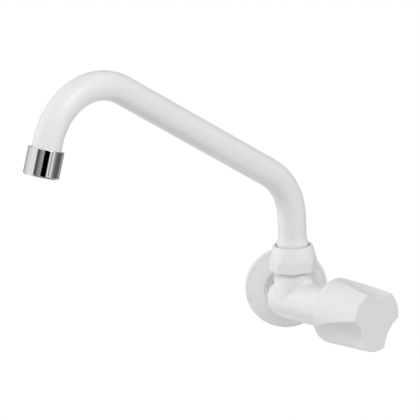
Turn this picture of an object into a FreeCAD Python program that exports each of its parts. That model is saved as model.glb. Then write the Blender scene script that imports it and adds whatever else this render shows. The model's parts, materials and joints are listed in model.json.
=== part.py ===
import FreeCAD, Part
import math
import os

# Wall-mounted kitchen tap with a swivel spout, in millimetres.
# The origin is on the inlet axis, in the plane of the finished wall.
# +Y goes into the wall, +X is to the right of a person facing it, +Z is up.

# Clearances
thread_gap = 0.03
running_gap = 0.05
face_gap = 0.05
socket_gap = 0.3
seal_gap = 0.02
overcut = 1.0

# Tap body: the corner is where the inlet axis meets the valve axis
wall_to_corner = 30.8
valve_turn = -46.6
barrel_radius = 15.7
barrel_end = 51.4
boss_radius = 12.0
boss_step = 2.0
inlet_thread_radius = 10.48
inlet_thread_length = 20.0
inlet_thread_chamfer = 1.0
inlet_bore_radius = 6.0
stem_offset = 7.4
crease_radius = 6.0

# Valve seat and the chamber in front of it
seat_bore_radius = 5.0
seat_lip_width = 1.6
seat_lip_height = 1.5
seat_face = 2.5
partition_thickness = 3.0
chamber_radius = 10.5
chamber_length = 26.0
headwork_thread_radius = 12.0

# Neck of the body, round the spout's foot
neck_height = 23.5
neck_radius = 15.4
neck_thread_radius = 15.0
neck_top = 34.0
riser_radius = 5.5
socket_floor = 14.5

# Spout tube
tube_radius = 11.0
tube_bore_radius = 8.2
spout_rest_angle = 50.0
bend_start = 66.1
bend_radius = 47.7
arm_rise = 32.6
arm_length = 166.3
tip_lean = 18.2
tip_straight = 6.0
tip_thread_length = 8.0
tube_flare = 1.3
tube_flare_start = 46.5
tube_flare_length = 7.5

# Seals and ring on the spout's foot
spout_ring_grooves = (18.0, 24.5)
spout_ring_width = 2.0
spout_groove_depth = 1.4
retainer_thickness = 2.4
retainer_groove_depth = 1.2
retainer_radius = 14.2
retainer_split = 3.0
slip_washer_thickness = 0.8

# Union nut
nut_flats = 8
nut_across_flats = 35.6
nut_corner_radius = 5.0
nut_skirt_gap = 1.2
nut_height = 19.7
nut_mouth_radius = 13.4
nut_crown_radius = 15.3
nut_dome_height = 16.0
nut_dome_bulge = 0.3
nut_edge = 0.6
nut_foot_edge = 0.9

# Aerator
shell_radius = 13.4
shell_wall = 2.37
shell_height = 20.5
shell_lip = 1.5
shell_outlet_radius = 9.6
shell_top_edge = 0.5
shell_foot_edge = 1.4
aerator_washer_thickness = 2.0
aerator_washer_width = 2.8
cup_wall = 1.5
cup_ledge = 1.3
cup_ledge_width = 0.8
plate_thickness = 1.6
plate_margin = 0.95
plate_hole_radius = 0.7
plate_hole_rings = 2
plate_hole_pitch = 3.5
plate_holes_per_ring = 6
screen_thickness = 0.4
screen_bar = 0.7
screen_pitch = 2.3

# Escutcheon against the wall
escutcheon_radius = 32.4
escutcheon_height = 8.0
escutcheon_rim = 4.2
escutcheon_rim_radius = 2.6
escutcheon_wall = 2.2
escutcheon_hole_radius = 17.6
escutcheon_step = 2.2
escutcheon_hub_wall = 2.4
escutcheon_crown = 0.7
escutcheon_hub_drop = 0.6

# Knob, measured along the valve axis
knob_back = 51.2
knob_front = 95.9
knob_back_radius = 25.4
knob_front_radius = 24.4
knob_wall = 3.0
knob_face = 3.5
knob_lobes = 3
knob_lobe_angle = 21.0
flute_radius = 26.0
flute_start = 7.0
flute_depth = 6.6
knob_back_edge = 2.0
knob_front_edge = 0.5
flute_edge = 0.9
hub_radius = 8.0
rib_thickness = 2.0
rib_setback = 14.0

# Headwork: the bonnet screws into the barrel and carries the spindle
gasket_thickness = 1.0
flange_radius = 14.5
flange_thickness = 3.0
bonnet_foot = 27.0
bonnet_hex = 22.0
bonnet_hex_height = 5.6
bonnet_neck_radius = 8.0
bonnet_end = 63.8
bonnet_chamfer = 1.2
guide_hex = 11.1
guide_gap = 0.05
journal_shoulder = 45.0

# Spindle
screw_radius = 3.4
screw_end = 20.0
collar_radius = 5.35
collar_thickness = 2.0
thrust_washer_thickness = 0.45
journal_radius = 4.2
spindle_ring_grooves = (48.0, 53.0)
spindle_ring_width = 1.9
spindle_groove_depth = 1.2
clip_thickness = 0.9
clip_groove_depth = 0.8
clip_radius = 6.6
clip_split_angle = 70.0
spline_start = 65.7
spline_end = 80.0
spline_teeth = 20
spline_depth = 0.55

# Washer carrier, closed on its seat
washer_radius = 8.4
washer_thickness = 3.2
plate_radius = 8.6
carrier_plate = 2.5
carrier_end = 37.0
carrier_bore_start = 15.0
carrier_screw_radius = 2.0
carrier_screw_depth = 6.8
washer_screw_length = 9.4
washer_screw_head_radius = 3.4
washer_screw_head = 1.6
washer_screw_slot = 0.9

# Values worked out from the ones above
X = FreeCAD.Vector(1, 0, 0)
Y = FreeCAD.Vector(0, 1, 0)
Z = FreeCAD.Vector(0, 0, 1)
ORIGIN = FreeCAD.Vector(0, 0, 0)
turn = math.radians(valve_turn)
corner = FreeCAD.Vector(0, -wall_to_corner, 0)
valve_axis = FreeCAD.Vector(math.cos(turn), math.sin(turn), 0)
stem = corner + valve_axis * stem_offset
chamber_floor = seat_face - seat_lip_height
nut_bottom = neck_height + nut_skirt_gap
nut_top = nut_bottom + nut_height
retainer_bottom = neck_top + face_gap
retainer_top = retainer_bottom + retainer_thickness
slip_bottom = retainer_top + face_gap
slip_top = slip_bottom + slip_washer_thickness
nut_lip = slip_top + face_gap
tip_thread_radius = shell_radius - shell_wall - thread_gap
flange_back = barrel_end + gasket_thickness
hex_back = flange_back + flange_thickness
washer_back = seat_face + washer_thickness
carrier_hex = guide_hex - 2 * guide_gap
hub_start = spline_start + socket_gap


def vector(x, y, z):
    return FreeCAD.Vector(x, y, z)


def rod(radius, start, end, axis=Z):
    return Part.makeCylinder(radius, end - start, axis * start, axis)


def ring(outer, inner, start, end, axis=Z):
    return rod(outer, start, end, axis).cut(rod(inner, start, end, axis))


def turned(profile):
    """Solid of revolution from (radius, height) points and three-point arcs."""
    edges = []
    for piece in profile:
        points = [vector(r, 0, h) for r, h in piece]
        if len(points) == 3:
            edges.append(Part.Arc(*points).toShape())
        else:
            edges.append(Part.LineSegment(*points).toShape())
    return Part.Face(Part.Wire(edges)).revolve(ORIGIN, Z, 360)


def prism(sides, across_flats, start, end, first_corner=0.0):
    """Regular prism along Z with a corner at first_corner degrees."""
    radius = across_flats / 2 / math.cos(math.pi / sides)
    corners = []
    for i in range(sides + 1):
        a = math.radians(first_corner) + 2 * math.pi * i / sides
        corners.append(vector(radius * math.cos(a), radius * math.sin(a), start))
    return Part.Face(Part.makePolygon(corners)).extrude(vector(0, 0, end - start))


def along_valve(shape):
    """Lays a shape made along Z down on X, with its X side turned to Y."""
    shape = shape.copy()
    shape.rotate(ORIGIN, vector(1, 1, 1), 120)
    return shape


def at_valve(shape):
    """Carries a shape from the valve's frame to its place on the wall."""
    shape = shape.copy()
    shape.rotate(ORIGIN, Z, valve_turn)
    shape.translate(corner)
    return shape


def at_stem(shape):
    shape = shape.copy()
    shape.translate(stem)
    return shape


def at_spout(shape):
    """Turns a shape made in the spout's plane, along +X, to its rest angle."""
    shape = shape.copy()
    shape.rotate(ORIGIN, Z, -90.0 - spout_rest_angle)
    return at_stem(shape)


def edges_where(shape, test):
    return [edge for edge in shape.Edges if test(edge)]


def has_curve(edge, kind):
    return not edge.Degenerated and isinstance(edge.Curve, kind)


def circle_at(edge, radius, height, axis="z"):
    """True for a circular edge of that radius centred at that height."""
    if not has_curve(edge, Part.Circle):
        return False
    place = getattr(edge.Curve.Center, axis)
    return abs(edge.Curve.Radius - radius) < 0.01 and abs(place - height) < 0.01


def tap_body():
    """Elbow, valve barrel, neck and inlet shank moulded in one piece."""
    ball = Part.makeSphere(barrel_radius)
    barrel = rod(barrel_radius, 0, barrel_end, X)
    outside = at_valve(ball.fuse(barrel)).removeSplitter()
    outside = outside.fuse(at_stem(rod(neck_radius, 0, neck_height))).removeSplitter()
    outside = outside.makeFillet(
        crease_radius, edges_where(outside, lambda e: has_curve(e, Part.BSplineCurve))
    )
    boss = Part.makeCylinder(boss_radius, wall_to_corner - boss_step, corner, Y)
    outside = outside.fuse(boss).removeSplitter()
    outside = outside.fuse(at_stem(rod(neck_thread_radius, neck_height / 2, neck_top)))
    shank = rod(inlet_thread_radius, -boss_step, inlet_thread_length - boss_step, Y)
    end = inlet_thread_length - boss_step
    shank = shank.makeChamfer(
        inlet_thread_chamfer,
        edges_where(shank, lambda e: circle_at(e, inlet_thread_radius, end, "y")),
    )
    outside = outside.fuse(shank).removeSplitter()

    inlet = Part.makeCylinder(
        inlet_bore_radius,
        wall_to_corner + inlet_thread_length + inlet_bore_radius,
        corner - Y * inlet_bore_radius,
        Y,
    )
    reach = wall_to_corner + inlet_thread_length
    partition = chamber_floor - partition_thickness
    behind = Part.makeBox(reach, 2 * reach, reach, vector(partition - reach, -reach, -reach / 2))
    wall_side = Part.makeBox(2 * reach, 2 * reach, reach, vector(-reach, -wall_to_corner / 2, -reach / 2))
    inlet = inlet.common(at_valve(behind).fuse(wall_side))

    chamber = rod(chamber_radius, chamber_floor, chamber_length, X)
    lip = rod(seat_bore_radius + seat_lip_width, chamber_floor, seat_face, X)
    valve = chamber.cut(lip)
    valve = valve.fuse(rod(seat_bore_radius, partition - overcut, seat_face, X))
    valve = valve.fuse(
        rod(headwork_thread_radius + thread_gap, chamber_length, barrel_end, X)
    )
    socket = rod(tube_radius + running_gap, socket_floor, neck_top)
    riser = rod(riser_radius, seat_bore_radius + seat_lip_width, socket_floor)
    return outside.cut(inlet).cut(at_valve(valve)).cut(at_stem(socket.fuse(riser)))


def escutcheon():
    """Rose that hides the hole in the wall: a dished floor on the boss and a domed skirt."""
    r, h, e = escutcheon_radius, escutcheon_height, escutcheon_rim_radius
    hole = escutcheon_hole_radius
    rim = escutcheon_rim
    w = escutcheon_wall
    hub = boss_radius + running_gap
    hub_out = hole + escutcheon_hub_wall
    bend = math.sqrt(0.5) * e
    outer = [
        ((r, 0), (r, rim - e)),
        ((r, rim - e), (r - e + bend, rim - e + bend), (r - e, rim)),
        ((r - e, rim), ((r - e + hole) / 2, (rim + h) / 2 + escutcheon_crown), (hole, h)),
    ]
    hub_top = h - w - escutcheon_hub_drop
    inside = [
        ((hole, h), (hole, escutcheon_step)),
        ((hole, escutcheon_step), (hub, escutcheon_step)),
        ((hub, escutcheon_step), (hub, 0)),
        ((hub, 0), (hub_out, 0)),
        ((hub_out, 0), (hub_out, hub_top)),
        ((hub_out, hub_top), (r - e - w / 2, rim - w)),
        ((r - e - w / 2, rim - w), (r - w, 0)),
        ((r - w, 0), (r, 0)),
    ]
    rose = turned(outer + inside)
    rose.rotate(ORIGIN, X, 90)
    return rose


def spout_nut():
    """Eight-sided union nut with a domed crown that narrows to its mouth."""
    corner_distance = nut_across_flats / 2 / math.cos(math.pi / nut_flats)
    blank = prism(nut_flats, nut_across_flats, nut_bottom, nut_top, -90.0)
    upright = edges_where(blank, lambda e: abs(e.tangentAt(e.FirstParameter).z) > 0.9)
    blank = blank.makeFillet(nut_corner_radius, upright)
    start = (nut_crown_radius, nut_top)
    shoulder = (corner_distance, nut_top - nut_dome_height)
    spread = corner_distance - nut_crown_radius
    bulge = nut_dome_bulge / math.hypot(spread, nut_dome_height)
    middle = (
        (start[0] + shoulder[0]) / 2 + bulge * nut_dome_height,
        (start[1] + shoulder[1]) / 2 + bulge * spread,
    )
    dome = turned(
        [
            (start, middle, shoulder),
            (shoulder, (corner_distance, nut_bottom)),
            ((corner_distance, nut_bottom), (0, nut_bottom)),
            ((0, nut_bottom), (0, nut_top)),
            ((0, nut_top), start),
        ]
    )
    nut = blank.common(dome)
    nut = nut.makeFillet(
        nut_edge, edges_where(nut, lambda e: circle_at(e, nut_crown_radius, nut_top))
    )
    nut = nut.makeFillet(nut_foot_edge, edges_where(nut, lambda e: flat_at(e, nut_bottom)))
    thread = rod(neck_thread_radius + thread_gap, nut_bottom, nut_lip)
    mouth = rod(nut_mouth_radius, nut_lip, nut_top)
    return nut.cut(thread).cut(mouth)


def spout_path():
    """Corner points and directions of the spout's centre line in its plane."""
    rise = math.radians(arm_rise)
    fall = math.radians(tip_lean - 90.0)
    first = vector(bend_radius, 0, bend_start)
    top = vector(0, 0, bend_start)

    def on_first(a):
        return first + vector(-math.cos(a), 0, math.sin(a)) * bend_radius

    turn_one = math.pi / 2 - rise
    arm_start = on_first(turn_one)
    arm_end = arm_start + vector(math.cos(rise), 0, math.sin(rise)) * arm_length
    second = arm_end + vector(math.sin(rise), 0, -math.cos(rise)) * bend_radius

    def on_second(a):
        return second + vector(-math.sin(a), 0, math.cos(a)) * bend_radius

    tip_start = on_second(fall)
    heading = vector(math.cos(fall), 0, math.sin(fall))
    thread_top = tip_start + heading * tip_straight
    return {
        "top": top,
        "first_middle": on_first(turn_one / 2),
        "arm_start": arm_start,
        "arm_end": arm_end,
        "second_middle": on_second((rise + fall) / 2),
        "tip_start": tip_start,
        "thread_top": thread_top,
    }


def foot_collar():
    """Collar that widens the tube inside the nut's mouth and runs out above it."""
    top = tube_flare_start + tube_flare_length
    bottom = nut_lip + face_gap
    outer = tube_radius + tube_flare
    sweep = (tube_flare_length ** 2 + tube_flare ** 2) / (2 * tube_flare)
    inset = sweep - math.sqrt(sweep ** 2 - (tube_flare_length / 2) ** 2)
    return turned(
        [
            ((0, bottom), (outer, bottom)),
            ((outer, bottom), (outer, tube_flare_start)),
            (
                (outer, tube_flare_start),
                (tube_radius + inset, tube_flare_start + tube_flare_length / 2),
                (tube_radius, top),
            ),
            ((tube_radius, top), (0, top)),
            ((0, top), (0, bottom)),
        ]
    )


def on_tip(shape):
    """Lays a shape whose Z runs down the stream on the tip, in the spout's plane."""
    shape = shape.copy()
    shape.rotate(ORIGIN, Y, 180.0 - tip_lean)
    shape.translate(spout_path()["thread_top"])
    return shape


def at_tip(shape):
    return at_spout(on_tip(shape))


def spout_tube():
    """Bent tube with a flared collar and ring grooves at its foot."""
    p = spout_path()
    foot = vector(0, 0, socket_floor + socket_gap)
    path = Part.Wire(
        [
            Part.LineSegment(foot, p["top"]).toShape(),
            Part.Arc(p["top"], p["first_middle"], p["arm_start"]).toShape(),
            Part.LineSegment(p["arm_start"], p["arm_end"]).toShape(),
            Part.Arc(p["arm_end"], p["second_middle"], p["tip_start"]).toShape(),
            Part.LineSegment(p["tip_start"], p["thread_top"]).toShape(),
        ]
    )

    def swept(radius):
        section = Part.Wire([Part.makeCircle(radius, foot, Z)])
        return path.makePipeShell([section], True, False)

    tube = swept(tube_radius).fuse(foot_collar()).cut(swept(tube_bore_radius))
    thread = ring(tip_thread_radius, tube_bore_radius, 0, tip_thread_length)
    tube = tube.fuse(on_tip(thread)).removeSplitter()
    for start in spout_ring_grooves:
        floor = tube_radius - spout_groove_depth
        tube = tube.cut(ring(tube_radius + overcut, floor, start, start + spout_ring_width))
    floor = tube_radius - retainer_groove_depth
    return tube.cut(ring(tube_radius + overcut, floor, neck_top, retainer_top + face_gap))


def o_ring(bore, groove_depth, start, width):
    """Round rubber ring that fills its groove from the floor to the bore."""
    outer = bore - seal_gap
    inner = bore - running_gap - groove_depth + seal_gap
    middle = vector(0, 0, start + width / 2)
    return Part.makeTorus((outer + inner) / 2, (outer - inner) / 2, middle, Z)


def spout_o_ring(start):
    bore = tube_radius + running_gap
    return o_ring(bore, spout_groove_depth, start, spout_ring_width)


def split_ring(outer, inner, start, end, gap):
    """Ring cut open on its +X side by a parallel gap."""
    slot = Part.makeBox(outer + overcut, gap, end - start, vector(0, -gap / 2, start))
    return ring(outer, inner, start, end).cut(slot)


def spout_retaining_ring():
    inner = tube_radius - retainer_groove_depth + running_gap
    return split_ring(retainer_radius, inner, retainer_bottom, retainer_top, retainer_split)


def spout_slip_washer():
    return ring(
        neck_thread_radius, tube_radius + running_gap, slip_bottom, slip_top
    )


def aerator_shell():
    """Plated shell that screws over the tube's tip and holds the insert."""
    shell = rod(shell_radius, 0, shell_height)
    shell = shell.makeFillet(
        shell_foot_edge,
        edges_where(shell, lambda e: circle_at(e, shell_radius, shell_height)),
    )
    shell = shell.makeFillet(
        shell_top_edge, edges_where(shell, lambda e: circle_at(e, shell_radius, 0))
    )
    shell = shell.cut(rod(tip_thread_radius + thread_gap, 0, shell_height - shell_lip))
    return shell.cut(rod(shell_outlet_radius, 0, shell_height))


washer_start = tip_thread_length
cup_start = washer_start + aerator_washer_thickness
cup_end = shell_height - shell_lip
plate_end = cup_start + plate_thickness
screen_seat = cup_end - cup_ledge


def aerator_washer():
    inner = tip_thread_radius - aerator_washer_width
    return ring(tip_thread_radius, inner, washer_start, cup_start)


def aerator_cup():
    bore = tip_thread_radius - cup_wall
    cup = rod(tip_thread_radius, cup_start, cup_end)
    cup = cup.cut(rod(tip_thread_radius - plate_margin + thread_gap, cup_start, plate_end))
    cup = cup.cut(rod(bore, cup_start, screen_seat))
    return cup.cut(rod(bore - cup_ledge_width, cup_start, cup_end))


def aerator_plate():
    """Disc with rings of small holes that breaks the stream up."""
    plate = rod(tip_thread_radius - plate_margin, cup_start, plate_end)
    plate = plate.cut(rod(plate_hole_radius, cup_start, plate_end))
    for level in range(1, plate_hole_rings + 1):
        count = level * plate_holes_per_ring
        for i in range(count):
            hole = rod(plate_hole_radius, cup_start, plate_end)
            hole.translate(X * (level * plate_hole_pitch))
            hole.rotate(ORIGIN, Z, 360.0 * i / count)
            plate = plate.cut(hole)
    return plate


def aerator_screen(level):
    """Flat mesh disc; every second one is turned by half a right angle."""
    end = screen_seat - level * screen_thickness
    start = end - screen_thickness
    radius = tip_thread_radius - cup_wall - thread_gap
    disc = rod(radius, start, end)
    side = screen_pitch - screen_bar
    rim = radius - screen_bar
    steps = int(radius // screen_pitch) + 1
    holes = []
    for i in range(-steps, steps + 1):
        for j in range(-steps, steps + 1):
            x, y = i * screen_pitch, j * screen_pitch
            if math.hypot(abs(x) + side / 2, abs(y) + side / 2) < rim:
                place = vector(x - side / 2, y - side / 2, start)
                holes.append(Part.makeBox(side, side, screen_thickness, place))
    mesh = disc.cut(Part.makeCompound(holes))
    mesh.rotate(ORIGIN, Z, 45.0 * level)
    return mesh


def knob_form(inset, start, end):
    """Tapered round of the knob with its flutes, drawn in by inset."""
    length = knob_front - knob_back
    slope = (knob_back_radius - knob_front_radius) / length

    def radius_at(h):
        return knob_back_radius - slope * (h - knob_back) - inset

    form = Part.makeCone(radius_at(start), radius_at(end), end - start, vector(0, 0, start), Z)
    run = length - flute_start
    lean = math.atan2(flute_depth + slope * run, run)
    for i in range(knob_lobes):
        mid = knob_lobe_angle + 180.0 / knob_lobes + i * 360.0 / knob_lobes
        cutter_radius = flute_radius + inset
        tip = knob_back_radius - slope * flute_start + flute_radius
        reach = 2 * length
        base = vector(tip + reach * math.tan(lean), 0, knob_back + flute_start - reach)
        heading = vector(-math.sin(lean), 0, math.cos(lean))
        cutter = Part.makeCylinder(cutter_radius, 3 * reach, base, heading)
        cutter.rotate(ORIGIN, Z, mid)
        form = form.cut(cutter)
    return form


def flat_at(edge, height):
    """True for an edge that lies wholly at that height."""
    box = edge.BoundBox
    return abs(box.ZMin - height) < 0.01 and abs(box.ZMax - height) < 0.01


def knob():
    """Three-lobed hollow handle with a splined hub and three ribs."""
    form = knob_form(0.0, knob_back, knob_front)
    sides = edges_where(
        form, lambda e: e.BoundBox.ZLength > overcut and not has_curve(e, Part.Line)
    )
    outer = form.makeFillet(flute_edge, sides)
    outer = outer.makeFillet(
        knob_front_edge, edges_where(outer, lambda e: flat_at(e, knob_front))
    )
    outer = outer.makeFillet(
        knob_back_edge, edges_where(outer, lambda e: flat_at(e, knob_back))
    )
    cavity = knob_form(knob_wall, knob_back, knob_front - knob_face)
    hub = rod(hub_radius, hub_start, knob_front - knob_face)
    ribs = []
    for i in range(knob_lobes):
        rib = Part.makeBox(
            knob_back_radius,
            rib_thickness,
            knob_front - knob_face - hub_start - rib_setback,
            vector(0, -rib_thickness / 2, hub_start + rib_setback),
        )
        rib.rotate(ORIGIN, Z, knob_lobe_angle + i * 360.0 / knob_lobes)
        ribs.append(rib.common(cavity))
    shell = outer.cut(cavity)
    for piece in [hub] + ribs:
        shell = shell.fuse(piece)
    socket = splined(running_gap, hub_start, spline_end + socket_gap)
    return shell.cut(socket)


def splined(gap, start, end):
    """Serrated rod of the spindle's head, let out by gap."""
    outer = journal_radius + gap
    root = outer - spline_depth
    points = []
    for i in range(2 * spline_teeth + 1):
        radius = outer if i % 2 == 0 else root
        a = math.pi * i / spline_teeth
        points.append(vector(radius * math.cos(a), radius * math.sin(a), start))
    return Part.Face(Part.makePolygon(points)).extrude(vector(0, 0, end - start))


def bonnet():
    """Screwed-in housing that guides the carrier and holds the spindle."""
    body = rod(headwork_thread_radius, bonnet_foot, flange_back)
    body = body.makeChamfer(
        bonnet_chamfer,
        edges_where(body, lambda e: circle_at(e, headwork_thread_radius, bonnet_foot)),
    )
    body = body.fuse(rod(flange_radius, flange_back, hex_back))
    body = body.fuse(prism(6, bonnet_hex, hex_back, hex_back + bonnet_hex_height))
    body = body.fuse(rod(bonnet_neck_radius, hex_back, bonnet_end))
    body = body.cut(prism(6, guide_hex, bonnet_foot, journal_shoulder))
    return body.cut(rod(journal_radius + running_gap, journal_shoulder, bonnet_end))


def bonnet_gasket():
    return ring(flange_radius, headwork_thread_radius + thread_gap, barrel_end, flange_back)


collar_top = journal_shoulder - thrust_washer_thickness - face_gap
collar_bottom = collar_top - collar_thickness
clip_bottom = bonnet_end + 2 * face_gap


def spindle():
    """Non-rising spindle: screw, thrust collar, sealed journal and spline."""
    body = rod(screw_radius, screw_end, collar_bottom)
    body = body.fuse(rod(collar_radius, collar_bottom, collar_top))
    body = body.fuse(rod(journal_radius, collar_top, spline_start))
    body = body.fuse(splined(0.0, spline_start, spline_end))
    for start in spindle_ring_grooves:
        floor = journal_radius - spindle_groove_depth
        body = body.cut(
            ring(journal_radius + overcut, floor, start, start + spindle_ring_width)
        )
    floor = journal_radius - clip_groove_depth
    groove_end = clip_bottom + clip_thickness + face_gap
    return body.cut(
        ring(journal_radius + overcut, floor, clip_bottom - face_gap, groove_end)
    )


def spindle_o_ring(start):
    bore = journal_radius + running_gap
    return o_ring(bore, spindle_groove_depth, start, spindle_ring_width)


def thrust_washer():
    return ring(
        collar_radius, journal_radius, collar_top, collar_top + thrust_washer_thickness
    )


def spindle_clip():
    """Horseshoe clip, open over clip_split_angle degrees."""
    inner = journal_radius - clip_groove_depth
    clip = ring(clip_radius, inner, clip_bottom, clip_bottom + clip_thickness)
    half = math.radians(clip_split_angle / 2)
    far = 2 * clip_radius
    wedge = Part.makePolygon(
        [
            vector(0, 0, clip_bottom),
            vector(far * math.cos(half), far * math.sin(half), clip_bottom),
            vector(far * math.cos(half), -far * math.sin(half), clip_bottom),
            vector(0, 0, clip_bottom),
        ]
    )
    return clip.cut(Part.Face(wedge).extrude(vector(0, 0, clip_thickness)))


def washer_carrier():
    """Plate and six-sided sleeve that the spindle's screw draws forward."""
    body = rod(plate_radius, washer_back, washer_back + carrier_plate)
    body = body.fuse(prism(6, carrier_hex, washer_back, carrier_end))
    body = body.cut(rod(screw_radius + running_gap, carrier_bore_start, carrier_end))
    return body.cut(
        rod(carrier_screw_radius + thread_gap, washer_back, washer_back + carrier_screw_depth)
    )


def seat_washer():
    return ring(
        washer_radius, carrier_screw_radius + thread_gap, seat_face + face_gap, washer_back
    )


def washer_screw():
    head_top = seat_face + face_gap
    head_bottom = head_top - washer_screw_head
    screw = rod(washer_screw_head_radius, head_bottom, head_top)
    screw = screw.fuse(rod(carrier_screw_radius, head_top, head_top + washer_screw_length))
    width = 2 * washer_screw_head_radius
    slot = Part.makeBox(
        width,
        washer_screw_slot,
        washer_screw_head / 2,
        vector(-width / 2, -washer_screw_slot / 2, head_bottom),
    )
    return screw.cut(slot)


def all_pieces():
    """Every piece in its place, by name."""
    pieces = {
        "tap_body": tap_body(),
        "escutcheon": escutcheon(),
        "spout_nut": at_stem(spout_nut()),
        "spout_tube": at_spout(spout_tube()),
        "spout_retaining_ring": at_spout(spout_retaining_ring()),
        "spout_slip_washer": at_stem(spout_slip_washer()),
        "aerator_shell": at_tip(aerator_shell()),
        "aerator_washer": at_tip(aerator_washer()),
        "aerator_cup": at_tip(aerator_cup()),
        "aerator_plate": at_tip(aerator_plate()),
        "knob": at_valve(along_valve(knob())),
        "bonnet": at_valve(along_valve(bonnet())),
        "bonnet_gasket": at_valve(along_valve(bonnet_gasket())),
        "spindle": at_valve(along_valve(spindle())),
        "thrust_washer": at_valve(along_valve(thrust_washer())),
        "spindle_clip": at_valve(along_valve(spindle_clip())),
        "washer_carrier": at_valve(along_valve(washer_carrier())),
        "seat_washer": at_valve(along_valve(seat_washer())),
        "washer_screw": at_valve(along_valve(washer_screw())),
    }
    for level in range(2):
        pieces[f"aerator_screen_{level + 1}"] = at_tip(aerator_screen(level))
    for i, start in enumerate(spout_ring_grooves):
        pieces[f"spout_o_ring_{i + 1}"] = at_spout(spout_o_ring(start))
    for i, start in enumerate(spindle_ring_grooves):
        pieces[f"spindle_o_ring_{i + 1}"] = at_valve(along_valve(spindle_o_ring(start)))
    return pieces


os.makedirs("parts", exist_ok=True)
for name, shape in all_pieces().items():
    shape.exportStep(f"parts/{name}.step")
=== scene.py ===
"""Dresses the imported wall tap: finishes, a turned rose, a cut inlet thread, woven screens and a studio."""

import json
import math

import bmesh
import bpy
from mathutils import Matrix, Vector


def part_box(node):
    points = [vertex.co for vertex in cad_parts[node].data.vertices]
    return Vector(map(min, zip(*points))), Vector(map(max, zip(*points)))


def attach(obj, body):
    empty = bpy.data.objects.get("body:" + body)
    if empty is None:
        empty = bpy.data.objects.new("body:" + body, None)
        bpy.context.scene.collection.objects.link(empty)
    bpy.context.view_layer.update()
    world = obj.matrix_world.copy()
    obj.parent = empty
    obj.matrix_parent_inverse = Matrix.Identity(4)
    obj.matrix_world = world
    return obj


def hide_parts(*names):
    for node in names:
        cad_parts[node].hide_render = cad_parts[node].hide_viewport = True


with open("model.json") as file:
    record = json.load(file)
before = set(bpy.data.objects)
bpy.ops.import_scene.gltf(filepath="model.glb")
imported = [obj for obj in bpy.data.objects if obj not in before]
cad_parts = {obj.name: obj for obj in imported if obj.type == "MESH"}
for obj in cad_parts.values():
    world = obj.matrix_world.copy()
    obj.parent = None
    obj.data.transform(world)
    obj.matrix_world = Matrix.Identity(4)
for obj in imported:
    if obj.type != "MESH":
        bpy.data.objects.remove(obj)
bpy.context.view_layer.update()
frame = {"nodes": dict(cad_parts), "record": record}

bl_info = {
    "name": "Wall tap dresser",
    "version": (1, 0, 0),
    "blender": (4, 5, 0),
    "location": "View3D > Sidebar > Wall tap",
    "description": "Finishes and details for a wall-mounted kitchen tap, with a plain studio",
    "category": "Object",
}

MILLIMETRE = 0.001
# Points nearer than this, in metres, are one point, in new meshes and in copies of CAD meshes
WELD = 1e-6
SEW = 1e-7
SMOOTH_BELOW = math.radians(35.0)
# Power that a square metre of area lamp needs for a radiance of one
ENERGY_FOR_RADIANCE = 4.0


class TapSizes(bpy.types.PropertyGroup):
    """Sizes of the details that are modelled over the CAD pieces."""

    thread_pitch: bpy.props.FloatProperty(
        name="Thread pitch",
        description="Distance between two crests of the inlet thread",
        default=0.001814,
        unit="LENGTH",
        precision=5,
    )
    thread_depth: bpy.props.FloatProperty(
        name="Thread depth",
        description="Height of the inlet thread from root to crest",
        default=0.00116,
        unit="LENGTH",
        precision=5,
    )
    mesh_pitch: bpy.props.FloatProperty(
        name="Mesh pitch",
        description="Distance between two wires of the aerator's screens",
        default=0.00095,
        unit="LENGTH",
        precision=5,
    )
    mesh_wire: bpy.props.FloatProperty(
        name="Mesh wire",
        description="Thickness of the screens' wire",
        default=0.0003,
        unit="LENGTH",
        precision=5,
    )


class TapFinish(bpy.types.PropertyGroup):
    """Colours and gloss of the tap's finishes."""

    white: bpy.props.FloatVectorProperty(
        name="White plastic",
        description="Colour of the white mouldings",
        default=(0.80, 0.80, 0.796),
        subtype="COLOR",
        min=0.0,
        max=1.0,
    )
    white_roughness: bpy.props.FloatProperty(
        name="White roughness",
        description="Roughness of the white mouldings",
        default=0.34,
        min=0.0,
        max=1.0,
        subtype="FACTOR",
    )
    chrome: bpy.props.FloatVectorProperty(
        name="Chrome",
        description="Colour of the plated shell",
        default=(0.80, 0.80, 0.81),
        subtype="COLOR",
        min=0.0,
        max=1.0,
    )
    brass: bpy.props.FloatVectorProperty(
        name="Brass",
        description="Colour of the machined brass headwork",
        default=(0.70, 0.50, 0.22),
        subtype="COLOR",
        min=0.0,
        max=1.0,
    )


class StudioSettings(bpy.types.PropertyGroup):
    """Places and strengths of the studio's lights, floor and camera."""

    floor_level: bpy.props.FloatProperty(
        name="Floor level",
        description="Height of the floor from the inlet's axis, negative below it",
        default=-0.55,
        unit="LENGTH",
    )
    floor_size: bpy.props.FloatProperty(
        name="Floor size",
        description="Diameter of the round floor",
        default=1.1,
        unit="LENGTH",
    )
    room_strength: bpy.props.FloatProperty(
        name="Room strength",
        description="Strength of the even light from all round",
        default=0.515,
        min=0.0,
    )
    key_strength: bpy.props.FloatProperty(
        name="Key strength",
        description="Radiance of the panel above the camera",
        default=2.7,
        min=0.0,
    )
    sheen_strength: bpy.props.FloatProperty(
        name="Sheen strength",
        description="Radiance of the panel that only gloss shows",
        default=2.2,
        min=0.0,
    )
    camera_distance: bpy.props.FloatProperty(
        name="Camera distance",
        description="Distance of the camera from the stem",
        default=2.8,
        unit="LENGTH",
    )
    camera_elevation: bpy.props.FloatProperty(
        name="Camera elevation",
        description="Angle at which the camera looks down",
        default=math.radians(15.0),
        subtype="ANGLE",
    )
    camera_roll: bpy.props.FloatProperty(
        name="Camera roll",
        description="Turn of the camera about its own line of sight",
        default=math.radians(-2.0),
        subtype="ANGLE",
    )


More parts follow.
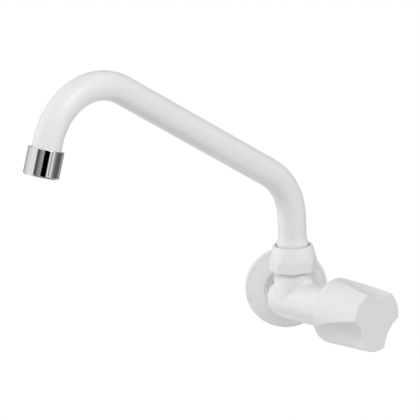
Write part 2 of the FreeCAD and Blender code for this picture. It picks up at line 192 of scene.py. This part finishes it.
class Shade:
    """A node tree with one of its output sockets, so that shader maths reads as expressions."""

    def __init__(self, tree, socket=None):
        self.tree = tree
        self.socket = socket

    def node(self, kind, settings=None, inputs=None, output=0):
        """Adds a node, sets it up, then fills or links its sockets."""
        made = self.tree.nodes.new(kind)
        for name, value in (settings or {}).items():
            if name == "stops":
                self.fill_ramp(made.color_ramp, value)
            else:
                setattr(made, name, value)
        for name, value in (inputs or {}).items():
            if isinstance(value, Shade):
                self.tree.links.new(value.socket, made.inputs[name])
            else:
                made.inputs[name].default_value = value
        return Shade(self.tree, made.outputs[output])

    @staticmethod
    def fill_ramp(ramp, stops):
        """Gives a ramp its stops, each a place and a grey."""
        while len(ramp.elements) < len(stops):
            ramp.elements.new(1.0)
        for element, (place, grey) in zip(ramp.elements, stops):
            element.position = place
            element.color = (grey, grey, grey, 1.0)

    def maths(self, operation, *values):
        """Adds a Math node on values that are links or numbers."""
        return self.node("ShaderNodeMath", {"operation": operation}, dict(enumerate(values)))

    def __add__(self, other):
        return self.maths("ADD", self, other)

    def __mul__(self, other):
        return self.maths("MULTIPLY", self, other)

    __radd__ = __add__
    __rmul__ = __mul__


def empty_sheet(holder):
    """Cleared node tree of a new material or world."""
    holder.use_nodes = True
    holder.node_tree.nodes.clear()
    return Shade(holder.node_tree)


def show(sheet, surface, kind="ShaderNodeOutputMaterial"):
    """Ends a node tree with its output."""
    output = sheet.tree.nodes.new(kind)
    sheet.tree.links.new(surface.socket, output.inputs["Surface"])


def new_material(name):
    """A node material, its tree and its principled shader."""
    material = bpy.data.materials.new(name)
    sheet = empty_sheet(material)
    shader = sheet.node("ShaderNodeBsdfPrincipled")
    show(sheet, shader)
    return material, sheet, shader


def feed(sheet, shader, **inputs):
    """Links or sets the shader's sockets by name, with _ for a space."""
    for name, value in inputs.items():
        socket = shader.socket.node.inputs[name.replace("_", " ")]
        if isinstance(value, Shade):
            sheet.tree.links.new(value.socket, socket)
        else:
            socket.default_value = value


def grain(sheet, scale, detail=2.0):
    """Noise on Object coordinates; scale is in features a metre."""
    place = sheet.node("ShaderNodeTexCoord", output="Object")
    return sheet.node(
        "ShaderNodeTexNoise",
        inputs={"Vector": place, "Scale": scale, "Detail": detail, "Roughness": 0.5},
    )


def tint(sheet, mask, first, second):
    """Colour that goes from first to second with the mask."""
    return sheet.node(
        "ShaderNodeMix",
        {"data_type": "RGBA"},
        {0: mask, 6: (*first, 1.0), 7: (*second, 1.0)},
        output=2,
    )


def relief(sheet, height, depth):
    """Bump of that many metres."""
    return sheet.node(
        "ShaderNodeBump", inputs={"Strength": 1.0, "Distance": depth, "Height": height}
    )


def shaded(colour, share):
    """The colour made lighter or darker."""
    return tuple(channel * share for channel in colour)


def white_plastic(name, painted_light_share=1.0):
    """Moulded white plastic: a soft orange peel, cloudy gloss and hardly any tint; painted_light_share above
    one paints light on a copy, below one paints shade.
    """
    finish = bpy.context.scene.tap_finish
    material, sheet, shader = new_material(name)
    white = shaded(finish.white, painted_light_share)
    cloud = grain(sheet, scale=38.0, detail=3.0)
    peel = grain(sheet, scale=900.0, detail=2.0)
    spread = 0.08
    feed(
        sheet,
        shader,
        Base_Color=tint(sheet, cloud, shaded(white, 0.985), shaded(white, 1.015)),
        Roughness=cloud * spread + (finish.white_roughness - spread / 2),
        Normal=relief(sheet, peel, depth=0.000003),
        IOR=1.52,
    )
    return material


def natural_plastic():
    """Milky acetal with a dull skin."""
    material, sheet, shader = new_material("natural_acetal")
    cloud = grain(sheet, scale=90.0, detail=3.0)
    feed(
        sheet,
        shader,
        Base_Color=tint(sheet, cloud, (0.70, 0.68, 0.62), (0.78, 0.76, 0.70)),
        Roughness=cloud * 0.12 + 0.38,
        Normal=relief(sheet, grain(sheet, scale=1500.0), depth=0.00001),
    )
    return material


def black_rubber():
    """Dull black rubber with a faint grey bloom."""
    material, sheet, shader = new_material("black_nitrile")
    bloom = grain(sheet, scale=400.0, detail=4.0)
    feed(
        sheet,
        shader,
        Base_Color=tint(sheet, bloom, (0.018, 0.018, 0.018), (0.04, 0.04, 0.042)),
        Roughness=bloom * 0.2 + 0.5,
        Normal=relief(sheet, grain(sheet, scale=2200.0), depth=0.00002),
    )
    return material


def plated():
    """Bright chrome over a moulded shell."""
    finish = bpy.context.scene.tap_finish
    material, sheet, shader = new_material("bright_chrome")
    haze = grain(sheet, scale=120.0, detail=3.0)
    feed(
        sheet,
        shader,
        Base_Color=tint(sheet, haze, shaded(finish.chrome, 0.97), finish.chrome[:]),
        Metallic=1.0,
        Roughness=haze * 0.05 + 0.03,
        Normal=relief(sheet, grain(sheet, scale=260.0), depth=0.000004),
    )
    return material


def machined(name, colour, roughness):
    """Turned metal: fine tool marks and a dull patchy film."""
    material, sheet, shader = new_material(name)
    film = grain(sheet, scale=180.0, detail=4.0)
    feed(
        sheet,
        shader,
        Base_Color=tint(sheet, film, shaded(colour, 0.86), colour),
        Metallic=1.0,
        Roughness=film * 0.16 + roughness,
        Normal=relief(sheet, grain(sheet, scale=2600.0, detail=1.0), depth=0.00001),
    )
    return material


def paint(material, *names):
    """Gives CAD nodes a material in every slot they have."""
    for name in names:
        piece = frame["nodes"][name]
        if not piece.material_slots:
            piece.data.materials.append(material)
        for slot in piece.material_slots:
            slot.material = material


def deselect():
    """Leaves edit mode and selects nothing."""
    if bpy.context.object and bpy.context.object.mode != "OBJECT":
        bpy.ops.object.mode_set(mode="OBJECT")
    bpy.ops.object.select_all(action="DESELECT")


def select_only(piece):
    """Selects one object and makes it active."""
    deselect()
    piece.select_set(True)
    bpy.context.view_layer.objects.active = piece


def apply_place(piece):
    """Moves the object's place into its mesh."""
    select_only(piece)
    bpy.ops.object.transform_apply(location=True, rotation=True, scale=True)


def finish_piece(piece, name, material, slot, body, *stands_for):
    """Names a finished piece, shades it, and hangs it on its body in place of CAD nodes."""
    piece.name = name
    piece.data.name = name
    piece.data.materials.clear()
    piece.data.materials.append(material)
    select_only(piece)
    bpy.ops.object.shade_smooth_by_angle(angle=SMOOTH_BELOW)
    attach(piece, body)
    for node in stands_for:
        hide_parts(node)


def edit(piece, mode="VERT"):
    """Opens one object alone in edit mode with nothing selected."""
    select_only(piece)
    bpy.ops.object.mode_set(mode="EDIT")
    bpy.ops.mesh.select_mode(type=mode)
    bpy.ops.mesh.select_all(action="DESELECT")


def pick(kind, test):
    """Selects the vertices, edges or faces of the open mesh that pass a test."""
    mesh = bmesh.from_edit_mesh(bpy.context.object.data)
    for item in getattr(mesh, kind):
        item.select_set(test(item))
    mesh.select_flush_mode()
    bmesh.update_edit_mesh(bpy.context.object.data)


def named(rows, name):
    """The row of one of the record's lists that has that name."""
    for row in rows:
        if row["name"] == name:
            return row
    raise KeyError(name)


def spin_closed(steps):
    """Spins the open mesh's outline about the inlet's axis into a closed skin that faces outwards."""
    bpy.ops.mesh.select_all(action="SELECT")
    bpy.ops.mesh.spin(
        steps=steps, angle=math.tau, center=(0.0, 0.0, 0.0), axis=(0.0, 1.0, 0.0)
    )
    bpy.ops.mesh.select_all(action="SELECT")
    bpy.ops.mesh.remove_doubles(threshold=WELD)
    bpy.ops.mesh.normals_make_consistent(inside=False)
    bpy.ops.object.mode_set(mode="OBJECT")


def merged_copy(node):
    """Copy of a CAD node's mesh with its loose triangles sewn together."""
    source = frame["nodes"][node]
    piece = source.copy()
    piece.data = source.data.copy()
    piece.parent = None
    piece.matrix_world = Matrix.Identity(4)
    bpy.context.scene.collection.objects.link(piece)
    edit(piece)
    bpy.ops.mesh.select_all(action="SELECT")
    bpy.ops.mesh.remove_doubles(threshold=SEW)
    bpy.ops.mesh.select_all(action="DESELECT")
    return piece


def join(pieces):
    """One object of several, each already in its place."""
    deselect()
    for piece in pieces:
        piece.select_set(True)
    bpy.context.view_layer.objects.active = pieces[0]
    bpy.ops.object.join()
    return bpy.context.object


class TAP_OT_white_mouldings(bpy.types.Operator):
    """Gives the body, rose, union nut, spout and knob their white plastic"""

    bl_idname = "tap.white_mouldings"
    bl_label = "White mouldings"

    def execute(self, context):
        paint(white_plastic("body_plastic"), "tap_body")
        # The rose's and the nut's copies of the one white plastic are painted 1% lighter, as painted light
        paint(white_plastic("rose_plastic", 1.01), "escutcheon")
        paint(white_plastic("nut_plastic", 1.01), "spout_nut")
        paint(white_plastic("spout_plastic"), "spout_tube")
        # The knob's copy of the one white plastic is painted 4% darker, as painted shade
        paint(white_plastic("knob_plastic", 0.96), "knob")
        return {"FINISHED"}


class TAP_OT_headwork(bpy.types.Operator):
    """Gives the valve and the seals their brass, rubber and acetal"""

    bl_idname = "tap.headwork"
    bl_label = "Headwork and seals"

    def execute(self, context):
        brass = tuple(context.scene.tap_finish.brass)
        paint(machined("turned_brass", brass, 0.24), "bonnet", "spindle", "washer_screw")
        paint(machined("spring_steel", (0.55, 0.55, 0.56), 0.28), "spindle_clip")
        paint(
            black_rubber(),
            "spout_o_ring_1",
            "spout_o_ring_2",
            "spindle_o_ring_1",
            "spindle_o_ring_2",
            "bonnet_gasket",
            "seat_washer",
            "aerator_washer",
        )
        paint(
            natural_plastic(),
            "spout_retaining_ring",
            "spout_slip_washer",
            "thrust_washer",
            "washer_carrier",
            "aerator_cup",
            "aerator_plate",
        )
        return {"FINISHED"}


class TAP_OT_aerator(bpy.types.Operator):
    """Plates the aerator's shell and gives its screens their steel"""

    bl_idname = "tap.aerator"
    bl_label = "Aerator"

    def execute(self, context):
        paint(plated(), "aerator_shell")
        steel = machined("screen_steel", (0.62, 0.62, 0.63), 0.2)
        paint(steel, "aerator_screen_1", "aerator_screen_2")
        return {"FINISHED"}


class TAP_OT_rose(bpy.types.Operator):
    """Turns the rose with its rim line and the ledge in its hole, which the CAD piece has plainer"""

    bl_idname = "tap.rose"
    bl_label = "Rose"

    steps = 144
    rounding_segments = 5
    # Each point has its radius, its height above the wall and the rounding of its corner, in millimetres
    outline = (
        (32.4, 0.0, 0.0),
        (32.4, 4.25, 1.8),
        (30.45, 4.2, 0.1),
        (30.2, 3.95, 0.08),
        (29.9, 4.2, 0.08),
        (27.0, 5.5, 0.0),
        (24.0, 6.62, 0.0),
        (21.0, 7.42, 0.0),
        (17.6, 8.0, 0.4),
        (17.3, 5.9, 0.25),
        (15.2, 5.7, 0.5),
        (14.9, 4.4, 0.3),
        (12.01, 4.4, 0.0),
        (12.01, 0.0, 0.0),
        (20.0, 0.0, 0.3),
        (20.0, 5.0, 0.8),
        (28.7, 2.0, 0.6),
        (30.2, 0.0, 0.0),
    )

    def execute(self, context):
        white = frame["nodes"]["escutcheon"].material_slots[0].material
        deselect()
        bpy.ops.mesh.primitive_circle_add(vertices=len(self.outline), fill_type="NOTHING")
        piece = bpy.context.object
        for vertex, (radius, out, _) in zip(piece.data.vertices, self.outline):
            vertex.co = self.place(radius, out)
        self.round_corners(piece)
        spin_closed(self.steps)
        finish_piece(piece, "rose_moulding", white, "rose_white", "tap", "escutcheon")
        return {"FINISHED"}

    @staticmethod
    def place(radius, out):
        """Point of the outline, in the plane through the inlet's axis."""
        return Vector((radius * MILLIMETRE, -out * MILLIMETRE, 0.0))

    def round_corners(self, piece):
        """Rounds each corner of the open outline by its own radius."""
        edit(piece)
        for radius, out, rounding in self.outline:
            if rounding == 0.0:
                continue
            corner = self.place(radius, out)
            bpy.ops.mesh.select_all(action="DESELECT")
            pick("verts", lambda v: (v.co - corner).length < WELD)
            bpy.ops.mesh.bevel(
                offset_type="OFFSET",
                offset=rounding * MILLIMETRE,
                segments=self.rounding_segments,
                affect="VERTICES",
            )


class TAP_OT_inlet_thread(bpy.types.Operator):
    """Cuts a real thread on the inlet shank, which the CAD piece keeps as a plain cylinder"""

    bl_idname = "tap.inlet_thread"
    bl_label = "Inlet thread"

    start = 0.0005
    end = 0.018
    bore = 0.006
    crest = named(frame["record"]["mounts"], "inlet_thread")["dims"]["r_mm"] * MILLIMETRE
    chamfer = 0.001
    core_steps = 96
    ridge_steps = 64
    ridge_sunk = 0.0002
    ridge_tip = 0.00014
    flank_angle = 27.5
    lead_in = 0.0003
    fade_slope = 1.1
    end_gap = 0.0001

    def execute(self, context):
        sizes = context.scene.tap_sizes
        root = self.crest - sizes.thread_depth
        white = frame["nodes"]["tap_body"].material_slots[0].material
        body = self.shorten()
        finish_piece(body, "tap_body_moulding", white, "body_white", "tap", "tap_body")
        core = self.core(root)
        ridge = self.ridge(root, sizes.thread_pitch)
        shank = join([core, ridge])
        finish_piece(shank, "inlet_shank", white, "body_white", "tap", "tap_body")
        return {"FINISHED"}

    def shorten(self):
        """The body without its shank, closed where the threaded one begins."""
        piece = merged_copy("tap_body")
        bpy.ops.mesh.select_all(action="SELECT")
        bpy.ops.mesh.bisect(
            plane_co=(0.0, self.start, 0.0),
            plane_no=(0.0, 1.0, 0.0),
            use_fill=True,
            clear_outer=True,
        )
        bpy.ops.object.mode_set(mode="OBJECT")
        return piece

    def core(self, root):
        """Tube at the thread's root, spun from its four-sided section."""
        piece = self.section(self.bore, root, self.start, self.end)
        edit(piece)
        spin_closed(self.core_steps)
        return piece

    @staticmethod
    def section(inner, outer, near, far):
        """Outline of a four-sided section between two radii and two distances behind the wall."""
        deselect()
        bpy.ops.mesh.primitive_plane_add(
            size=1.0, location=((outer + inner) / 2, (near + far) / 2, 0.0)
        )
        piece = bpy.context.object
        piece.scale = (outer - inner, far - near, 1.0)
        apply_place(piece)
        edit(piece)
        bpy.ops.mesh.select_all(action="SELECT")
        bpy.ops.mesh.delete(type="ONLY_FACE")
        bpy.ops.object.mode_set(mode="OBJECT")
        return piece

    def ridge(self, root, pitch):
        """Helical ridge of 55 degree section that fades in and out at its ends."""
        sunk = root - self.ridge_sunk
        flank = math.tan(math.radians(self.flank_angle))
        foot = self.ridge_tip + (self.crest - sunk) * flank
        first = self.start + foot + self.lead_in
        piece = self.section(sunk, self.crest, -1.0, 1.0)
        for vertex in piece.data.vertices:
            half = self.ridge_tip if vertex.co.x > (self.crest + sunk) / 2 else foot
            vertex.co.y = first + math.copysign(half, vertex.co.y)
        self.wind(piece, pitch, int((self.end - first) / pitch))
        self.fade(piece, sunk)
        self.close_ends(piece)
        return piece

    def wind(self, piece, pitch, turns):
        """Winds the section into a helix about the inlet's axis."""
        select_only(piece)
        screw = piece.modifiers.new("screw", "SCREW")
        screw.axis = "Y"
        screw.angle = math.tau
        screw.screw_offset = pitch
        screw.iterations = turns
        screw.steps = self.ridge_steps
        screw.render_steps = self.ridge_steps
        bpy.ops.object.modifier_apply(modifier="screw")

    def fade(self, piece, sunk):
        """Draws the helix in at both ends of the shank, as a lead-in and a chamfer."""
        last = self.end - self.end_gap
        for vertex in piece.data.vertices:
            place = vertex.co
            place.y = min(place.y, last)
            radius = math.hypot(place.x, place.z)
            fade_in = sunk + (place.y - self.start) * self.fade_slope
            fade_out = self.crest - (place.y - (self.end - self.chamfer))
            limit = max(sunk, min(radius, fade_in, fade_out))
            place.x *= limit / radius
            place.z *= limit / radius

    def close_ends(self, piece):
        """Caps the two ends of the helix."""
        edit(piece, "EDGE")
        middle = (self.start + self.end) / 2
        for near in (True, False):
            bpy.ops.mesh.select_all(action="DESELECT")
            pick("edges", lambda e: e.is_boundary and (e.verts[0].co.y < middle) == near)
            bpy.ops.mesh.edge_face_add()
        bpy.ops.mesh.select_all(action="SELECT")
        bpy.ops.mesh.normals_make_consistent(inside=False)
        bpy.ops.object.mode_set(mode="OBJECT")


class TAP_OT_screens(bpy.types.Operator):
    """Weaves the aerator's two screens from crimped wires"""

    bl_idname = "tap.screens"
    bl_label = "Woven screens"

    rim = 0.0094
    wire_sides = 5
    # How far each screen's weave is turned, in degrees
    turns = (12.0, 47.0)

    def execute(self, context):
        sizes = context.scene.tap_sizes
        axis = Vector(named(frame["record"]["mounts"], "outlet_ring")["axis"])
        lean = Vector((0.0, 0.0, 1.0)).rotation_difference(axis)
        steel = frame["nodes"]["aerator_screen_1"].material_slots[0].material
        for number, turn in enumerate(self.turns, 1):
            node = "aerator_screen_%d" % number
            low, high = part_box(node)
            middle = (Vector(low) + Vector(high)) / 2
            disc = self.weave(sizes.mesh_pitch, sizes.mesh_wire)
            disc.matrix_world = (
                Matrix.Translation(middle)
                @ lean.to_matrix().to_4x4()
                @ Matrix.Rotation(math.radians(turn), 4, "Z")
            )
            apply_place(disc)
            finish_piece(disc, "woven_screen_%d" % number, steel, "steel_mesh", "spout", node)
        return {"FINISHED"}

    def weave(self, pitch, wire):
        """Two layers of wires, crimped over and under each other, inside a thin rim."""
        count = int((self.rim - wire) / pitch)
        wires = []
        for i in range(-count, count + 1):
            offset = i * pitch
            length = 2 * math.sqrt(self.rim ** 2 - offset ** 2) - wire
            wires.append(self.wire(length, offset, pitch, wire, i % 2, False))
            wires.append(self.wire(length, offset, pitch, wire, (i + 1) % 2, True))
        bead = wire * 0.6
        deselect()
        bpy.ops.mesh.primitive_torus_add(
            major_radius=self.rim - bead,
            minor_radius=bead,
            major_segments=72,
            minor_segments=8,
        )
        return join([bpy.context.object] + wires)

    def wire(self, length, offset, pitch, thickness, phase, across):
        """One crimped wire, along X or across it, whose waves start in or out of phase."""
        deselect()
        bpy.ops.mesh.primitive_cylinder_add(
            vertices=self.wire_sides,
            radius=thickness / 2,
            depth=length,
            rotation=(0.0, math.pi / 2, 0.0),
        )
        piece = bpy.context.object
        apply_place(piece)
        edit(piece, "EDGE")
        pick("edges", lambda e: abs(e.verts[0].co.x - e.verts[1].co.x) > length / 2)
        bpy.ops.mesh.subdivide(number_cuts=max(1, int(2 * length / pitch)))
        bpy.ops.object.mode_set(mode="OBJECT")
        for vertex in piece.data.vertices:
            swing = math.cos(math.pi * (vertex.co.x / pitch + phase))
            vertex.co.z += swing * thickness / 2
            vertex.co.y += offset
        if across:
            piece.rotation_euler.z = math.pi / 2
            apply_place(piece)
        return piece


def stage_sheet(piece, name):
    """Names a stage piece and gives it an empty material that isn't sampled as a lamp."""
    piece.name = name
    apply_place(piece)
    material = bpy.data.materials.new(name)
    material.cycles.emission_sampling = "NONE"
    piece.data.materials.append(material)
    return empty_sheet(material)


def only_reflected(piece, name):
    """Does the same for a stage piece that only reflections show."""
    piece.visible_camera = False
    piece.visible_diffuse = False
    piece.visible_shadow = False
    piece.visible_transmission = False
    return stage_sheet(piece, name)


def white_where_seen(sheet, mirrored_share=1.0):
    """One for rays from the camera or through glass, that share for mirrored ones, else nothing."""
    seen = sheet.node("ShaderNodeLightPath", output="Is Camera Ray")
    mirrored = sheet.node("ShaderNodeLightPath", output="Is Glossy Ray")
    through = sheet.node("ShaderNodeLightPath", output="Is Transmission Ray")
    total = seen + mirrored * mirrored_share + through
    return sheet.node("ShaderNodeClamp", inputs={"Value": total})


def softbox(name, bearing, lift, radiance, target, width=1.0, height=1.0, reach=1.8):
    """Area lamp at a bearing and a height angle in degrees, facing the target."""
    turn, rise = math.radians(bearing), math.radians(lift)
    level = math.cos(rise)
    back = Vector((math.sin(turn) * level, -math.cos(turn) * level, math.sin(rise)))
    lamp = bpy.data.lights.new(name, "AREA")
    lamp.shape = "RECTANGLE"
    lamp.size = width
    lamp.size_y = height
    lamp.energy = radiance * ENERGY_FOR_RADIANCE * width * height
    piece = bpy.data.objects.new(name, lamp)
    piece.location = target + back * reach
    piece.rotation_euler = back.to_track_quat("Z", "Y").to_euler()
    bpy.context.scene.collection.objects.link(piece)
    return piece


class TAP_OT_studio(bpy.types.Operator):
    """Adds the camera, the floor, the lights and the white surroundings"""

    bl_idname = "tap.studio"
    bl_label = "Studio"

    target = (-0.05, -0.09, 0.08)
    picture_pixels = 420.0
    focal_pixels = 3600.0
    stem_pixel = (294.2, 299.6)
    mirrored_white = 0.92
    paper_grey = 0.9
    screen_radius = 2.2
    screen_height = 3.4
    screen_middle = 0.2
    flag_place = (-0.177, -0.2, -0.1)
    flag_radius = 0.22
    flag_level = 0.04
    # Each side panel has its bearing from the camera, its height angle and its radiance
    side_panels = (
        ("left_panel", -115.0, 10.0, 4.0),
        ("right_panel", 95.0, 10.0, 2.1),
        ("near_panel", -10.0, 10.0, 1.3),
    )
    # Bearings from the camera in degrees, each with the level that the plated ring mirrors there
    reflections = (
        (-180.0, 0.24),
        (-145.0, 0.36),
        (-115.0, 0.76),
        (-80.0, 0.92),
        (-53.0, 0.90),
        (-49.0, 0.10),
        (-37.0, 0.10),
        (-30.0, 0.27),
        (-11.0, 0.44),
        (-7.0, 0.0),
        (21.0, 0.0),
        (25.0, 0.86),
        (33.0, 0.86),
        (35.0, 0.25),
        (39.0, 0.25),
        (41.0, 0.86),
        (50.0, 0.80),
        (60.0, 0.36),
        (72.0, 0.16),
        (100.0, 0.10),
        (137.0, 0.24),
        (180.0, 0.44),
    )

    def execute(self, context):
        studio = context.scene.tap_studio
        self.camera(context, studio)
        self.surroundings(context, studio)
        self.floor(studio)
        self.panels(studio)
        self.surround()
        self.under_flag()
        context.scene.view_settings.view_transform = "Standard"
        return {"FINISHED"}

    def panels(self, studio):
        """Lamps: one above the camera, one that only gloss shows, and those round the tap."""
        target = Vector(self.target)
        front = softbox(
            "front_panel", bearing=0.0, lift=48.0, radiance=studio.key_strength, target=target
        )
        front.visible_glossy = False
        sheen = softbox(
            "sheen_panel",
            bearing=40.0,
            lift=40.0,
            radiance=studio.sheen_strength,
            target=target,
            width=0.8,
        )
        sheen.visible_diffuse = False
        for name, bearing, lift, radiance in self.side_panels:
            panel = softbox(name, bearing, lift, radiance, target)
            panel.visible_glossy = False

    def surround(self):
        """Round screen whose level follows the bearing from the camera."""
        deselect()
        bpy.ops.mesh.primitive_cylinder_add(
            vertices=96,
            radius=self.screen_radius,
            depth=self.screen_height,
            end_fill_type="NOTHING",
            location=(0.0, 0.0, self.screen_middle),
        )
        sheet = only_reflected(bpy.context.object, "surround")
        place = sheet.node("ShaderNodeTexCoord", output="Object")
        across = sheet.node("ShaderNodeSeparateXYZ", inputs={"Vector": place}, output="X")
        away = sheet.node("ShaderNodeSeparateXYZ", inputs={"Vector": place}, output="Y")
        turn = sheet.maths("ARCTAN2", across, away * -1.0) * (1.0 / math.tau) + 0.5
        stops = [((bearing + 180.0) / 360.0, level) for bearing, level in self.reflections]
        level = sheet.node("ShaderNodeValToRGB", {"stops": stops}, {"Fac": turn})
        show(sheet, sheet.node("ShaderNodeEmission", inputs={"Color": level}))

    def under_flag(self):
        """Dark disc under the outlet, which draws the lower edge of the plated ring."""
        deselect()
        bpy.ops.mesh.primitive_circle_add(
            vertices=64, radius=self.flag_radius, fill_type="NGON", location=self.flag_place
        )
        sheet = only_reflected(bpy.context.object, "under_flag")
        show(sheet, sheet.node("ShaderNodeEmission", inputs={"Strength": self.flag_level}))

    def camera(self, context, studio):
        """Camera that sees the stem at its place in the picture."""
        joints = frame["record"]["behaviour"]["joints"]
        stem = Vector(named(joints, "spout_swivel")["pos_m"])
        stem.z = 0.0
        tilt, roll = studio.camera_elevation, studio.camera_roll
        back = Vector((0.0, -math.cos(tilt), math.sin(tilt)))
        right = Vector((1.0, 0.0, 0.0))
        up = back.cross(right)
        side = math.cos(roll) * right + math.sin(roll) * up
        head = -math.sin(roll) * right + math.cos(roll) * up
        metres_a_pixel = studio.camera_distance / self.focal_pixels
        across = (self.stem_pixel[0] - self.picture_pixels / 2) * metres_a_pixel
        upward = (self.picture_pixels / 2 - self.stem_pixel[1]) * metres_a_pixel
        data = bpy.data.cameras.new("camera")
        data.sensor_width = 36.0
        data.lens = self.focal_pixels / self.picture_pixels * data.sensor_width
        data.clip_start = 0.05
        data.clip_end = 50.0
        piece = bpy.data.objects.new("camera", data)
        place = stem - side * across - head * upward + back * studio.camera_distance
        turn = Matrix((side, head, back)).transposed()
        piece.matrix_world = Matrix.Translation(place) @ turn.to_4x4()
        context.scene.collection.objects.link(piece)
        context.scene.camera = piece

    def surroundings(self, context, studio):
        """World that is white where it is seen and dimmer as a light."""
        world = bpy.data.worlds.new("surroundings")
        sheet = empty_sheet(world)
        white = white_where_seen(sheet, self.mirrored_white)
        strength = white * (1.0 - studio.room_strength) + studio.room_strength
        background = sheet.node(
            "ShaderNodeBackground", inputs={"Color": (1.0, 1.0, 1.0, 1.0), "Strength": strength}
        )
        show(sheet, background, "ShaderNodeOutputWorld")
        context.scene.world = world

    def floor(self, studio):
        """Round paper floor that is white where it is seen."""
        deselect()
        bpy.ops.mesh.primitive_circle_add(
            vertices=96,
            radius=studio.floor_size / 2,
            fill_type="NGON",
            location=(*self.target[:2], studio.floor_level),
        )
        sheet = stage_sheet(bpy.context.object, "floor")
        white = white_where_seen(sheet)
        colour = (self.paper_grey, self.paper_grey, self.paper_grey, 1.0)
        paper = sheet.node("ShaderNodeBsdfDiffuse", inputs={"Color": colour})
        glow = sheet.node("ShaderNodeEmission", inputs={"Strength": 1.0})
        show(sheet, sheet.node("ShaderNodeMixShader", inputs={0: white, 1: paper, 2: glow}))


class TAP_PT_sidebar(bpy.types.Panel):
    """Lists the tap's steps and settings"""

    bl_label = "Wall tap"
    bl_idname = "TAP_PT_sidebar"
    bl_space_type = "VIEW_3D"
    bl_region_type = "UI"
    bl_category = "Wall tap"

    def draw(self, context):
        column = self.layout.column()
        for step in STEPS:
            column.operator(step.bl_idname)
        for group in (context.scene.tap_sizes, context.scene.tap_finish, context.scene.tap_studio):
            for name in group.__annotations__:
                column.prop(group, name)


GROUPS = (TapSizes, TapFinish, StudioSettings)
STEPS = (
    TAP_OT_white_mouldings,
    TAP_OT_headwork,
    TAP_OT_aerator,
    TAP_OT_rose,
    TAP_OT_inlet_thread,
    TAP_OT_screens,
    TAP_OT_studio,
)


def register():
    for kind in GROUPS + STEPS + (TAP_PT_sidebar,):
        bpy.utils.register_class(kind)
    bpy.types.Scene.tap_sizes = bpy.props.PointerProperty(type=TapSizes)
    bpy.types.Scene.tap_finish = bpy.props.PointerProperty(type=TapFinish)
    bpy.types.Scene.tap_studio = bpy.props.PointerProperty(type=StudioSettings)


def unregister():
    del bpy.types.Scene.tap_studio
    del bpy.types.Scene.tap_finish
    del bpy.types.Scene.tap_sizes
    for kind in reversed(GROUPS + STEPS + (TAP_PT_sidebar,)):
        bpy.utils.unregister_class(kind)


def main():
    register()
    bpy.ops.tap.white_mouldings()
    bpy.ops.tap.headwork()
    bpy.ops.tap.aerator()
    bpy.ops.tap.rose()
    bpy.ops.tap.inlet_thread()
    bpy.ops.tap.screens()
    bpy.ops.tap.studio()


if __name__ == "__main__":
    main()
